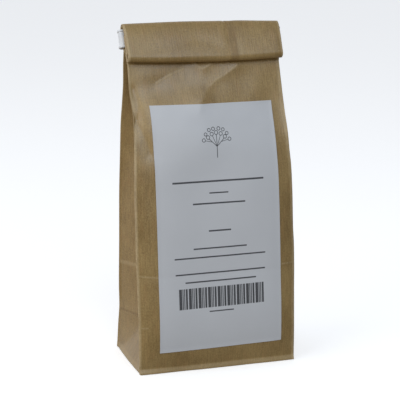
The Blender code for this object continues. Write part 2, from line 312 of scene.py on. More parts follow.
def sheet(name, points, uv=None):
    """A grid laid over points[row, column], with its own UV map. All are in millimetres."""
    rows, columns = points.shape[:2]
    bpy.ops.object.select_all(action="DESELECT")
    bpy.ops.mesh.primitive_grid_add(x_subdivisions=columns - 1, y_subdivisions=rows - 1, size=1)
    obj = bpy.context.object
    obj.name = obj.data.name = name
    mesh = obj.data
    mesh.vertices.foreach_set("co", (points.reshape(-1, 3) * MM).ravel())
    if uv is not None:
        corners = np.empty(len(mesh.loops), np.int32)
        mesh.loops.foreach_get("vertex_index", corners)
        mesh.uv_layers.active.data.foreach_set("uv", (uv.reshape(-1, 2)[corners] / UV_UNIT).ravel())
    mesh.update()
    return obj


def in_edit_mode(obj, *steps):
    """Runs edit-mode steps on the whole mesh."""
    only(obj)
    bpy.ops.object.mode_set(mode="EDIT")
    bpy.ops.mesh.select_all(action="SELECT")
    for step in steps:
        step()
    bpy.ops.object.mode_set(mode="OBJECT")


def join_onto(first, others):
    """Joins objects into the first one."""
    only(first)
    for other in others:
        other.select_set(True)
    bpy.ops.object.join()


def merge_doubles():
    bpy.ops.mesh.remove_doubles(threshold=2e-6)


def face_outwards():
    bpy.ops.mesh.normals_make_consistent(inside=False)


def flip_faces():
    bpy.ops.mesh.flip_normals()


def turn_towards(obj, way, face=0):
    """Turns a whole sheet inside out unless its given face looks that way."""
    if obj.data.polygons[face].normal.dot(Vector(way)) < 0:
        in_edit_mode(obj, flip_faces)


def apply_modifier(obj, kind, **settings):
    """Adds a modifier, sets it and applies it."""
    only(obj)
    modifier = obj.modifiers.new(kind.title(), kind)
    for name, value in settings.items():
        setattr(modifier, name, value)
    bpy.ops.object.modifier_apply(modifier=modifier.name)


def smooth_by_angle(obj, degrees):
    only(obj)
    bpy.ops.object.shade_smooth_by_angle(angle=math.radians(degrees))


def place(obj, material, node):
    """Gives a finished piece its material and its place in the frame."""
    obj.data.materials.clear()
    obj.data.materials.append(material)
    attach(obj, "root")
    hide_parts(node)


# Shader helpers ---------------------------------------------------------------


class Value:
    """An output socket that takes part in sums, so that shader maths reads as Python."""

    def __init__(self, shader, socket):
        self.shader = shader
        self.socket = socket

    def math(self, operation, *others, clamp=False):
        sockets = dict(enumerate((self, *others)))
        return self.shader.node("ShaderNodeMath", {"operation": operation, "use_clamp": clamp}, sockets)

    def __add__(self, other):
        return self.math("ADD", other)

    def __sub__(self, other):
        return self.math("SUBTRACT", other)

    def __mul__(self, other):
        return self.math("MULTIPLY", other)

    def __truediv__(self, other):
        return self.math("DIVIDE", other)

    def __rsub__(self, other):
        return (self * -1) + other

    __radd__ = __add__
    __rmul__ = __mul__

    def clamped(self):
        return self.math("ADD", 0.0, clamp=True)

    def over(self, low, high):
        """0 up to low, 1 from high on, with a smooth rise between."""
        settings = {"interpolation_type": "SMOOTHSTEP"}
        return self.shader.node("ShaderNodeMapRange", settings, {0: self, 1: low, 2: high, 3: 0.0, 4: 1.0})


class Nodes:
    """A node tree, with short calls that add to it."""

    def __init__(self, tree):
        self.tree = tree

    def join(self, value, socket):
        if isinstance(value, Value):
            self.tree.links.new(value.socket, socket)
        else:
            socket.default_value = value

    def node(self, kind, settings=None, sockets=None, output=0):
        """Adds a node, sets it up, and then fills its sockets with values or links."""
        node = self.tree.nodes.new(kind)
        for name, value in (settings or {}).items():
            if name == "stops":
                for index, (position, colour) in enumerate(value):
                    elements = node.color_ramp.elements
                    stop = elements[index] if index < len(elements) else elements.new(position)
                    stop.position, stop.color = position, (*colour, 1)
            else:
                setattr(node, name, value)
        for key, value in (sockets or {}).items():
            self.join(value, node.inputs[key])
        return Value(self, node.outputs[output])

    def mix(self, factor, first, second):
        """A colour between two colours."""
        first, second = (c if isinstance(c, Value) else (*c, 1) for c in (first, second))
        return self.node("ShaderNodeMix", {"data_type": "RGBA"}, {0: factor, 6: first, 7: second}, 2)

    def split(self, vector):
        return [self.node("ShaderNodeSeparateXYZ", sockets={0: vector}, output=axis) for axis in range(3)]

    def joined(self, x, y, z=0.0):
        return self.node("ShaderNodeCombineXYZ", sockets={0: x, 1: y, 2: z})

    def noise(self, vector, scale=1.0, detail=3.0, roughness=0.5):
        sockets = {"Vector": vector, "Scale": scale, "Detail": detail, "Roughness": roughness}
        return self.node("ShaderNodeTexNoise", None, sockets)

    def position(self):
        """The point on the object, in metres."""
        return self.node("ShaderNodeTexCoord", output=3)

    def uv(self):
        """The piece's own UV map, in millimetres across and along the paper."""
        across, along, _ = self.split(self.node("ShaderNodeTexCoord", output=2))
        return across * UV_UNIT, along * UV_UNIT

    def bump(self, height, distance):
        return self.node("ShaderNodeBump", None, {"Distance": distance, "Height": height})


class Shader(Nodes):
    """A material with one Principled surface."""

    def __init__(self, name):
        self.material = bpy.data.materials.new(name)
        self.material.use_nodes = True
        super().__init__(self.material.node_tree)
        self.surface = self.tree.nodes["Principled BSDF"]

    def finish(self, **sockets):
        """Fills the Principled surface's sockets: Base_Color is Base Color."""
        for name, value in sockets.items():
            self.join(value, self.surface.inputs[name.replace("_", " ")])
        return self.material


def near(value, centre, full, none):
    """1 where a shader's value is within `full` of the centre, and 0 from `none` away on."""
    return 1 - (value - centre).math("ABSOLUTE").over(full, none)


def most(values):
    """The greatest of several shader values, point by point."""
    greatest, *others = values
    for value in others:
        greatest = greatest.math("MAXIMUM", value)
    return greatest


def line_distance(x, y, start, end):
    """How far a shader's (x, y) is from a straight stroke between two points."""
    run_x, run_y = end[0] - start[0], end[1] - start[1]
    length = run_x**2 + run_y**2
    off_x, off_y = x - start[0], y - start[1]
    t = ((off_x * run_x + off_y * run_y) / length).clamped()
    gap_x, gap_y = off_x - t * run_x, off_y - t * run_y
    return (gap_x * gap_x + gap_y * gap_y).math("SQRT")


# The sheet's folds and the middle of its glued seam, by their way round the paper.
BACK_FOLD = SEAM_UNDER + HALF_WIDTH_FLAT
FRONT_FOLD = BACK_FOLD + GUSSET_PAPER
FRONT_MIDDLE = FRONT_FOLD + HALF_WIDTH_FLAT
FAR_FRONT_FOLD = FRONT_MIDDLE + HALF_WIDTH_FLAT
FAR_BACK_FOLD = FAR_FRONT_FOLD + GUSSET_PAPER
SEAM_GLUE = FAR_BACK_FOLD + HALF_WIDTH_FLAT - (SEAM_OVER + SEAM_UNDER) / 2

# Folds painted pale, with the width of the pale band at each: partly wear, and partly painted
# highlight where the folds catch the light. And straight creases on the front's folds, as (start, end) in x
# and z with a width, which get the same pale paint.
LIT_AND_WORN_FOLDS = ((BACK_FOLD, 0.95), (FRONT_FOLD, 0.95), (FAR_FRONT_FOLD, 1.8), (FAR_BACK_FOLD, 0.95))
CORNER_CREASES = (
    (((-35.2, 20.8), (-31.6, 20.8)), 0.6),
    (((-35.2, 43.3), (-27.0, 42.5)), 0.8),
    (((27.0, 44.2), (35.2, 44.2)), 0.7),
)


def kraft_creases(across, along, streak, fibre):
    """Where the paper is painted pale, partly as wear and partly as painted highlight, and a painted shade
    line across each gusset, as two masks.
    """
    x = across - FRONT_MIDDLE
    # The crest's pale line, partly wear and partly painted highlight, is laid only near the roll.
    creases = [(stroke, 0.8) for points, _, _ in CRINKLES[:3] for stroke in zip(points, points[1:4])]
    creases += CORNER_CREASES
    # Pale lines painted along the creases, partly as wear and partly as painted highlight.
    marks = most(1 - line_distance(x, along, *stroke).over(0.0, width) for stroke, width in creases)
    marks = marks * (streak.over(0.3, 0.5) * 0.5 + 0.15)
    # Pale bands painted along the folds, partly as wear and partly as painted highlight where the rounded
    # folds catch the light.
    frayed = across + (streak - 0.5) * 0.6
    fold_wear_and_highlight = most(near(frayed, fold, 0.3, width) for fold, width in LIT_AND_WORN_FOLDS)
    fold_wear_and_highlight = fold_wear_and_highlight * (streak.over(0.3, 0.6) * 0.5 + 0.5)
    gussets = [fold + GUSSET_PAPER / 2 for fold in (BACK_FOLD, FAR_FRONT_FOLD)]
    sides = most(near(across, middle, 19.8, 20.2) for middle in gussets)
    # A pale band along the crease across each gusset, painted with the folds' pale paint.
    side_crease = sides * near(along, 41.5, 0.2, 1.4) * 0.56
    # A painted shade line in the crease across each gusset.
    gusset_crease_shade = sides * near(along - (fibre - 0.5), 19.0, 0.1, 0.9) * 0.5
    pale_wear_and_highlight = most((marks, fold_wear_and_highlight, side_crease)) * (fibre * 0.7 + 0.5)
    # The strip along the bottom fold is painted lighter: partly scuffing, partly painted sheen.
    scuffed = (1 - along.over(2.0, 2.8)) * 0.35
    # A painted highlight just above the roll's top edge.
    top_edge_highlight = near(along, TOP_EDGE + 0.95, 0.1, 0.5) * streak.over(0.3, 0.6) * 0.6
    return most((pale_wear_and_highlight, scuffed, top_edge_highlight)), gusset_crease_shade


def kraft_material(settings):
    """Ribbed brown kraft paper: streaky fibres, faint ribs, creases painted pale as wear and as highlight,
    and painted shade lines.
    """
    shader = Shader("ribbed kraft paper")
    across, along = shader.uv()
    cloudy = shader.noise(shader.joined(across * 0.06, along * 0.045), detail=2.0)
    streak = shader.noise(shader.joined(across * 1.2, along * 0.17), roughness=0.6)
    fibre = shader.noise(shader.joined(across * 2.2, along * 1.3), detail=4.0, roughness=0.7)
    reddish = shader.noise(shader.joined(across * 0.5 + 7.0, along * 0.16), detail=2.0)
    wander = shader.noise(shader.joined(across * 0.4, along * 0.05), detail=2.0)
    specks = shader.noise(shader.joined(across * 0.9, along * 0.55), detail=1.0).over(0.70, 0.76)
    ribs = ((across / settings.rib_spacing + wander * 1.6) * math.tau).math("SINE") * 0.5 + 0.5
    ribs = ribs * reddish.over(0.3, 0.7)
    pale_wear_and_highlight, gusset_crease_shade = kraft_creases(across, along, streak, fibre)
    # Glue darkens the seam, most where it shows in the roll.
    glue = near(across + (fibre - 0.5) * 1.5, SEAM_GLUE, 1.0, 2.6)
    glue = glue * (along.over(148.0, 158.0) * 0.7 + 0.3)
    # A painted shade line along the roll's top edge.
    top_edge_shade = near(along, TOP_EDGE, 0.2, 0.55)

    tone = (streak - 0.5) * 1.1 + (fibre - 0.5) * 2.2 + (cloudy - 0.5) * 1.2 + (ribs - 0.5) * 0.2 + 0.5
    # Glue darkens the seam, and painted shade lines run across the gussets and along the roll's top edge.
    tone = tone - glue * 0.45 - gusset_crease_shade * 0.7 - top_edge_shade * 0.5
    colour = shader.mix(tone.clamped(), settings.paper_dark, settings.paper_light)
    colour = shader.mix(reddish.over(0.45, 0.75) * 0.35, colour, settings.paper_red)
    colour = shader.mix(specks * 0.4, colour, settings.paper_speck)
    # Pale paint on folds, creases and edges: partly wear, partly painted highlight and sheen.
    colour = shader.mix(pale_wear_and_highlight * 0.55, colour, settings.paper_wear_and_highlight)
    height = ribs * 0.3 + streak * 0.3 + fibre * 0.8 + pale_wear_and_highlight - gusset_crease_shade
    return shader.finish(
        Base_Color=colour,
        Roughness=0.38 + (fibre - 0.5) * 0.3 + (cloudy - 0.5) * 0.15 + pale_wear_and_highlight * 0.15 + glue * 0.15,
        Normal=shader.bump(height, 0.07 * MM),
        Specular_IOR_Level=1.0,
    )


# The label's print, in millimetres from the middle of its lower edge: (height, length,
# thickness) of each ruled line, the band of bars, and a sprig of strokes and ringed berries.
RULES = (
    (72.8, 41, 0.75), (67.8, 8.5, 0.55), (63.4, 23.5, 0.65), (51.6, 10, 0.65), (44.2, 24, 0.6),
    (40.4, 41, 0.6), (33.5, 40.5, 0.6), (29.9, 32, 0.6), (16.6, 11, 0.5),
)
BAR_PITCH = 4.32
BAR_WIDTH = 38.9
BAR_BAND = (18.4, 27.3)
BAR_RHYTHM = ((0.17, 0.15), (0.42, 0.05), (0.58, 0.05), (0.81, 0.10))
SPRIG_LEVEL = 84.0
SPRIG_STEMS = (
    (((0.0, -1.2), (0.0, 3.4)), 0.3), (((0.0, 3.4), (-3.4, 6.6)), 0.25), (((0.0, 3.4), (3.4, 6.6)), 0.25),
    (((0.0, 3.4), (0.0, 8.2)), 0.25), (((0.0, 3.4), (-1.8, 7.8)), 0.2), (((0.0, 3.4), (1.8, 7.8)), 0.2),
    (((-2.0, 5.3), (-5.2, 6.0)), 0.2), (((2.0, 5.3), (5.2, 6.0)), 0.2),
)
SPRIG_BERRIES = (
    ((-5.9, 6.2), 0.7), ((-3.9, 7.3), 0.75), ((-2.1, 8.6), 0.75), ((0.0, 9.1), 0.8), ((2.1, 8.6), 0.75),
    ((3.9, 7.3), 0.75), ((5.9, 6.2), 0.7), ((-4.9, 8.6), 0.65), ((4.9, 8.6), 0.65), ((-1.2, 10.7), 0.7),
    ((1.3, 10.7), 0.7), ((-3.2, 10.3), 0.65), ((3.3, 10.2), 0.65),
)


def block(value, centre, width, edge):
    """1 over a stretch of this width, with an edge this soft to each side."""
    return near(value, centre, width / 2 - edge, width / 2 + edge)


def label_ink(across, up, middle):
    """The label's print as a mask, from ways across and up the label and where its middle is."""
    ink = []
    for level, length, line in RULES:
        stroke = near(up, level, line / 2 - 0.03, line / 2 + 0.05)
        ink.append(stroke * block(across, middle, length, 0.05))
    beat = (across / BAR_PITCH).math("FRACT")
    bars = most(near(beat, centre, half - 0.01, half + 0.01) for centre, half in BAR_RHYTHM)
    low, high = BAR_BAND
    bars = bars * block(up, (low + high) / 2, high - low, 0.04)
    ink.append(bars * block(across, middle, BAR_WIDTH, 0.02))
    aside, rise = across - middle, up - SPRIG_LEVEL
    for stem, line in SPRIG_STEMS:
        ink.append(1 - line_distance(aside, rise, *stem).over(line / 2 - 0.03, line / 2 + 0.05))
    for (centre_x, centre_y), radius in SPRIG_BERRIES:
        off_x, off_y = aside - centre_x, rise - centre_y
        ink.append(near((off_x * off_x + off_y * off_y).math("SQRT"), radius, 0.10, 0.18))
    return most(ink)


def label_material(settings):
    """White label paper with a printed berry sprig, ruled lines and an even band of bars."""
    shader = Shader("label paper")
    across, up = shader.uv()
    grain = shader.noise(shader.joined(across * 2.2, up * 2.2), detail=4.0, roughness=0.7)
    cloudy = shader.noise(shader.joined(across * 0.05, up * 0.05), detail=2.0)
    ink = label_ink(across, up, settings.width / 2) * (grain * 0.25 + 0.78)
    shade = (grain - 0.5) * 0.5 + (cloudy - 0.5) * 0.8 + 0.5
    paper = shader.mix(shade.clamped(), settings.paper_shade, settings.paper)
    return shader.finish(
        Base_Color=shader.mix(ink, paper, settings.ink),
        Roughness=0.58 + (grain - 0.5) * 0.2 - ink * 0.12,
        Normal=shader.bump(grain, 0.015 * MM),
    )


def plastic_material(settings):
    """Milky white plastic, a little scuffed."""
    shader = Shader("white plastic")
    position = shader.position()
    scuffs = shader.noise(position, 900.0, 3.0, 0.6)
    haze = shader.noise(position, 120.0, 2.0)
    return shader.finish(
        Base_Color=shader.mix(haze, settings.plastic_shade, settings.plastic),
        Roughness=0.32 + scuffs * 0.2,
        Normal=shader.bump(scuffs, 0.02 * MM),
    )


def steel_material():
    """Tinned steel wire with fine drawing marks."""
    shader = Shader("tinned steel")
    marks = shader.noise(shader.position(), 2500.0)
    return shader.finish(
        Base_Color=shader.mix(marks, (0.42, 0.42, 0.43), (0.62, 0.62, 0.63)),
        Metallic=1.0,
        Roughness=0.28 + marks * 0.2,
    )


def berry_material(settings):
    """Wrinkled dried elderberries, nearly black with a red-brown bloom."""
    shader = Shader("dried berry skin")
    position = shader.position()
    cells = {"feature": "DISTANCE_TO_EDGE"}
    wrinkles = shader.node("ShaderNodeTexVoronoi", cells, {"Vector": position, "Scale": 900.0})
    bloom = shader.noise(position, 260.0, 4.0, 0.6)
    return shader.finish(
        Base_Color=shader.mix(bloom.over(0.4, 0.7), settings.skin, settings.bloom),
        Roughness=0.5 + bloom * 0.3,
        Normal=shader.bump(wrinkles.over(0.0, 0.25), 0.25 * MM),
    )


# The bag ----------------------------------------------------------------------


def spaced(start, end, count, ends=True):
    """Evenly spaced values, as a list, with or without the last one."""
    return list(np.linspace(start, end, count, endpoint=ends))


class Columns:
    """The sheet's columns: which part of the tube each is on, how far along that part,
    and on which side. The parts run from the seam's lower sheet round to its upper one."""

    FRONT, BACK_LEFT, BACK_RIGHT, FOLD_FRONT, FOLD_BACK, GUSSET_FRONT, GUSSET_BACK, CREASE = range(8)

    def __init__(self, front, back, gusset, crease, fold):
        round_fold = spaced(0, 1, fold + 2)[1:-1]
        left = [(self.FOLD_BACK, round_fold), (self.GUSSET_BACK, spaced(0, 1, gusset, False))]
        left += [(self.CREASE, spaced(0, 1, crease, False)), (self.GUSSET_FRONT, spaced(0, 1, gusset))]
        left += [(self.FOLD_FRONT, round_fold)]
        parts = [(self.BACK_LEFT, 0, spaced(0, 1, back))]
        parts += [(part, -1, values) for part, values in left]
        # The front's columns stand closer together near its folds.
        parts += [(self.FRONT, 0, [0.5 * (t + math.sin(t * math.pi / 2)) for t in spaced(-1, 1, front)])]
        parts += [(part, 1, values[::-1]) for part, values in reversed(left)]
        parts += [(self.BACK_RIGHT, 0, spaced(0, 1, back * 2 // 5))]
        self.part = np.array([part for part, _, values in parts for _ in values])
        self.side = np.array([side for _, side, values in parts for _ in values])
        self.t = np.array([value for _, _, values in parts for value in values])
        self.panel = np.isin(self.part, (self.BACK_LEFT, self.BACK_RIGHT))
        self.front = self.part == self.FRONT

    def paper(self):
        """How far round the paper each column lies, in millimetres."""
        half = GUSSET_PAPER / 2
        start = {
            self.FOLD_BACK: (-0.2, 0.4),
            self.GUSSET_BACK: (0.2, half - 0.4),
            self.CREASE: (half - 0.2, 0.4),
            self.GUSSET_FRONT: (half + 0.2, half - 0.4),
            self.FOLD_FRONT: (2 * half - 0.2, 0.4),
        }
        around = np.zeros(len(self.t))
        for index, (part, side, t) in enumerate(zip(self.part, self.side, self.t)):
            if part == self.BACK_LEFT:
                around[index] = t * BACK_FOLD
            elif part == self.FRONT:
                around[index] = FRONT_MIDDLE + t * HALF_WIDTH_FLAT
            elif part == self.BACK_RIGHT:
                around[index] = FAR_BACK_FOLD + t * (HALF_WIDTH_FLAT - SEAM_OVER)
            else:
                first, length = start[part]
                offset = first + length * t
                around[index] = BACK_FOLD + offset if side < 0 else FAR_BACK_FOLD - offset
        return around


def outline(columns, halves, depth, fold, gap, bow=0.0, bulge=0.0, tuck=0.0):
    """(x, depth) of every column at one level, where depth runs from front panel to back.

    The halves are half the width at the front's left and right and at the back. Each gusset
    is folded in this far, and its fold is open by the gap and bowed outwards. Its sheets
    bulge out, and tuck towards each other as they do.
    """
    left_half, right_half, back_half = halves
    pair = min(PAIR, 0.4 * depth)
    radius = pair / 2
    middle = depth / 2
    t, part = columns.t, columns.part
    on_left = (columns.side < 0) | ((part == columns.FRONT) & (t < 0))
    half = np.where(on_left, left_half, right_half)
    crease_x = (half + back_half) / 2 - fold
    x = np.zeros(len(t))
    y = np.zeros(len(t))

    front = part == columns.FRONT
    x[front] = t[front] * (half[front] - radius)
    left = part == columns.BACK_LEFT
    x[left] = SEAM_UNDER - t[left] * (SEAM_UNDER + back_half - radius)
    y[left] = depth
    right = part == columns.BACK_RIGHT
    x[right] = back_half - radius - t[right] * (back_half - radius - SEAM_OVER)
    y[right] = depth

    # Folds and gussets are worked out on the right, and mirrored by their side.
    angle = np.pi * t
    fold_back = part == columns.FOLD_BACK
    x[fold_back] = back_half - radius + radius * np.sin(angle[fold_back])
    y[fold_back] = depth - radius + radius * np.cos(angle[fold_back])
    fold_front = part == columns.FOLD_FRONT
    x[fold_front] = half[fold_front] - radius + radius * np.sin(angle[fold_front])
    y[fold_front] = radius + radius * np.cos(angle[fold_front])
    arch = 4 * t * (1 - t)
    bulge = bulge * arch
    back = part == columns.GUSSET_BACK
    x[back] = back_half - radius - t[back] * (back_half - radius - crease_x[back]) + bulge[back]
    y[back] = depth - pair + t[back] * (middle + gap / 2 - depth + pair) + bulge[back] * tuck
    crease = part == columns.CREASE
    x[crease] = crease_x[crease] + bow * arch[crease]
    y[crease] = middle + gap / 2 - t[crease] * gap
    ahead = part == columns.GUSSET_FRONT
    x[ahead] = crease_x[ahead] + t[ahead] * (half[ahead] - radius - crease_x[ahead]) + bulge[ahead]
    y[ahead] = middle - gap / 2 + t[ahead] * (pair - middle + gap / 2) - bulge[ahead] * tuck
    x = np.where(columns.side < 0, -x, x)
    return x, y


def seam_step(columns, x):
    """How far the seam's lower sheet is set back from the upper one."""
    return SEAM_STEP * ramp(x, SEAM_OVER - 1.6, SEAM_OVER - 0.2) * (columns.part == columns.BACK_LEFT)


def body_rows(columns, heights):
    """Points of the body, level by level."""
    rows = []
    panel, front = columns.panel, columns.front
    for z in heights:
        front_edge, back_edge = float(eased(FRONT_EDGE, z)), float(eased(BACK_EDGE, z))
        depth = back_edge - front_edge
        halves = [float(eased(table, z)) for table in (FRONT_LEFT, FRONT_RIGHT, BACK_HALF)]
        fold = max(float(eased(GUSSET_FOLD, z)), 0.35)
        gap = min(2 * float(eased(GUSSET_OPEN, z)), depth - 4 * PAIR)
        bulge = 0.5 * float(ramp(z, 4, 30)) * (1 - float(ramp(z, 84, 110)))
        x, y = outline(columns, halves, depth, fold, gap, float(eased(SIDE_BOW, z)), bulge, 0.6)
        y = y + front_edge
        y[front] = front_depth(x[front], np.full(front.sum(), z))
        y[panel] = back_depth(x[panel], np.full(panel.sum(), z))
        rows.append(np.stack([x, y - seam_step(columns, x), np.full(len(x), z)], 1))
    return rows


def bottom_lip(first_row):
    """The sheet's lowest edge, turned in under the bag."""
    rows = []
    for inset, z in ((2.4, 0.42), (0.9, 0.3), (0.35, 0.08), (0.08, 0.2)):
        row = first_row.copy()
        row[:, 0] *= 1 - inset / HALF_WIDTH_FLAT
        row[:, 1] *= 1 - inset / (GUSSET_PAPER / 2)
        row[:, 2] = z
        rows.append(row)
    return rows


def roll_relief(x, along):
    """How far the roll's front face stands out at x and at a way down the face."""
    seam = ramp(x, SEAM_OVER - 0.6, SEAM_OVER + 0.5) - ramp(x, SEAM_UNDER - 0.7, SEAM_UNDER + 0.3)
    dent = 0.16 * bell(x, -3.2, 0.9) * bell(along, 9, 4)
    crease = 0.35 * np.exp(-np.hypot(from_line(x, along, ROLL_CREASE), 0.8) / 3)
    return 0.07 * ripple(x, along * 1.6, 19, 7) - SEAM_STEP * seam - dent - crease


def roll_rows(columns):
    """Points of the roll, from the loose paper under it to the mouth inside it."""
    pairs = np.array([[roll_to_world(*point) for point in pair] for pair in roll_pairs()])
    start = np.array((LOOSE_FRONT, LOOSE_BACK))
    loose = [start + (pairs[0] - start) * step / 3 for step in range(3)]
    rows, travelled, before = [], 0.0, start[1]
    for front_point, back_point in [*loose, *pairs]:
        travelled += float(np.hypot(*(back_point - before)))
        before = back_point
        across = back_point - front_point
        depth = float(np.hypot(*across))
        across = across / depth
        x, d = outline(columns, (HALF_WIDTH_FLAT,) * 3, depth, GUSSET_IN_ROLL, SLIT)
        on_face = ramp(travelled, 12, 17) * (1 - ramp(travelled, 32, 36))
        inside = 1 - (np.abs(x) / HALF_WIDTH_FLAT) ** 10
        d = d + np.where(columns.panel, roll_relief(x, travelled - 15) * on_face * inside, 0)
        d = d - seam_step(columns, x)
        y, z = front_point[0] + across[0] * d, front_point[1] + across[1] * d
        # The roll is a little taller in its middle. Its right end runs in as it goes round,
        # and its left end stands out.
        up = (y - ROLL_POINT[0]) * math.sin(ROLL_LEAN) + (z - ROLL_POINT[1]) * math.cos(ROLL_LEAN)
        stretch = np.where(up > 0, ROLL_RISE * up / 6, ROLL_DROOP * up / 10) * ramp(travelled, 4, 10)
        stretch = stretch * (1 - (x / HALF_WIDTH_FLAT) ** 2)
        y, z = y + stretch * math.sin(ROLL_LEAN), z + stretch * math.cos(ROLL_LEAN)
        right_run = 0.3 - 0.25 * ramp(travelled, 4, 10) + 0.6 * ramp(travelled, 16, 32)
        left_run = 0.45 * ramp(travelled, 4, 9) * (1 - ramp(travelled, 16, 26))
        x = x - right_run * ramp(x, 8, 34) - left_run * ramp(-x, 8, 34)
        rows.append(np.stack([x, y, z], 1))
    return rows


def build_tube():
    """The tube of paper in one sheet: its lip under the bag, its body and its roll."""
    columns = Columns(front=94, back=28, gusset=10, crease=7, fold=4)
    heights = [0.45, 1.0, 1.6, 2.1, 2.5, 3.1, 4.0, 5.0]
    heights += spaced(6, 108, 117, False) + spaced(108, BODY_TOP, 40)
    body = body_rows(columns, heights)
    lip = bottom_lip(body[0])
    points = np.array(lip + body + roll_rows(columns))
    # Along the paper a row of the body lies as far as it is high, and the rows before and
    # after the body as far as the paper travels from there.
    back = points[:, columns.part == columns.BACK_LEFT].mean(1)
    travelled = np.concatenate([[0], np.cumsum(np.linalg.norm(np.diff(back, axis=0), axis=1))])
    along = points[:, :, 2].mean(1)
    first, last = len(lip), len(lip) + len(body) - 1
    along[:first] = along[first] + travelled[:first] - travelled[first]
    along[last + 1 :] = along[last] + travelled[last + 1 :] - travelled[last]
    around = np.tile(columns.paper(), (len(points), 1))
    for side in (-1, 1):
        # The gusset's paper is shared out along its own line at every level.
        gusset = np.flatnonzero(columns.side == side)
        lengths = np.cumsum(np.linalg.norm(np.diff(points[:, gusset], axis=1), axis=2), axis=1)
        start, end = around[0, gusset[0]], around[0, gusset[-1]]
        around[:, gusset[1:]] = start + (end - start) * lengths / lengths[:, -1:]
    return sheet("paper_bag_tube", points, np.stack(np.broadcast_arrays(around, along[:, None]), 2))


def flap(name, corners, level, thickness):
    """One flat flap of the bottom, from its four corners."""
    near_left, near_right, far_right, far_left = (np.array(corner, float) for corner in corners)
    rows = []
    for t in spaced(0, 1, 9):
        left, right = near_left + (far_left - near_left) * t, near_right + (far_right - near_right) * t
        rows.append([(*(left + (right - left) * s), level) for s in spaced(0, 1, 25)])
    points = np.array(rows)
    points[:, :, 2] += 0.02 * np.clip(1 + ripple(points[:, :, 0], points[:, :, 1], 18, 21), 0, 2)
    piece = sheet(name, points, points[:, :, :2])
    turn_towards(piece, (0, 0, -1))
    apply_modifier(piece, "SOLIDIFY", thickness=thickness * MM, offset=-1.0)
    return piece


def build_bottom():
    """The base and its two folded flaps, the front one on top of the back one."""
    x, y, reach = 34.2, 19.9, 5.0
    base = flap("base", ((-x, -y), (x, -y), (x, y), (-x, y)), 0.36, 0.14)
    short = x - (y + reach) * 0.94
    rear = flap("rear", ((-x, y), (x, y), (short, -reach), (-short, -reach)), 0.19, 0.13)
    front = flap("front", ((-x, -y), (x, -y), (short, reach), (-short, reach)), 0.0, 0.14)
    return [base, rear, front]


# Operators --------------------------------------------------------------------


def number(name, description, default, unit="NONE"):
    return bpy.props.FloatProperty(name=name, description=description, default=default, unit=unit)


def colour(name, description, *default):
    words = {"name": name, "description": description, "subtype": "COLOR"}
    return bpy.props.FloatVectorProperty(default=default, **words)


class BagSettings(bpy.types.PropertyGroup):
    thickness: number("Paper thickness", "Thickness of the kraft paper", 0.14 * MM, "LENGTH")
    rib_spacing: number("Rib spacing", "Distance between the paper's fine ribs, in millimetres", 1.05)
    paper_light: colour("Light kraft", "The paper's lighter fibres", 0.485, 0.325, 0.12)
    paper_dark: colour("Dark kraft", "The paper's darker fibres", 0.262, 0.156, 0.042)
    paper_speck: colour("Specks", "Specks of bark in the paper", 0.2, 0.11, 0.04)
    paper_red: colour("Red-brown", "The paper's redder streaks", 0.39, 0.215, 0.07)
    # The pale paint on folds, creases and edges: partly wear, partly painted highlight.
    paper_wear_and_highlight: colour("Worn folds", "Paper worn pale on folds", 0.70, 0.54, 0.30)


class LabelSettings(bpy.types.PropertyGroup):
    width: number("Width", "Width of the label in millimetres", (LABEL_BOX[1][0] - LABEL_BOX[0][0]) / MM)
    height: number("Height", "Height of the label in millimetres", (LABEL_BOX[1][2] - LABEL_BOX[0][2]) / MM)
    thickness: number("Thickness", "Thickness of the label", 0.1 * MM, "LENGTH")
    tilt: number("Tilt", "How far the lower right corner sits above the left one, in millimetres", 0.75)
    paper: colour("Paper", "The label's white", 0.75, 0.755, 0.775)
    paper_shade: colour("Paper shade", "The label's darker clouding", 0.68, 0.685, 0.705)
    ink: colour("Ink", "The printed lines", 0.03, 0.03, 0.035)


class BandSettings(bpy.types.PropertyGroup):
    length: number("Length", "Length of the band, in millimetres", 120.0)
    bead: number("Bead radius", "Radius of each bead, in millimetres", 0.6)
    wire: number("Wire radius", "Radius of each wire, in millimetres", 0.22)
    web: number("Web", "Half the web's thickness, in millimetres", 0.22)
    plastic: colour("Plastic", "The band's white", 0.92, 0.93, 0.94)
    plastic_shade: colour("Plastic shade", "The band's duller patches", 0.86, 0.87, 0.89)


class BerrySettings(bpy.types.PropertyGroup):
    berry: number("Berry", "Distance between berries, in millimetres", 4.2)
    skin: colour("Skin", "The berries' dark skin", 0.022, 0.008, 0.012)
    bloom: colour("Bloom", "The berries' paler bloom", 0.085, 0.04, 0.045)


class StageSettings(bpy.types.PropertyGroup):
    lens: number("Lens", "Focal length in millimetres", 114.6)
    sky: number("Sky", "Strength of the light from all round", 0.265)
    key: number("Key light", "Power of the main light", 5.1, "POWER")
    front: number("Front light", "Power of the cool light from above the camera", 2.55, "POWER")
    low: number("Low light", "Power of the light level with the camera", 0.35, "POWER")
    floor_glow: number("Floor glow", "Light that the floor adds of its own", 0.5)


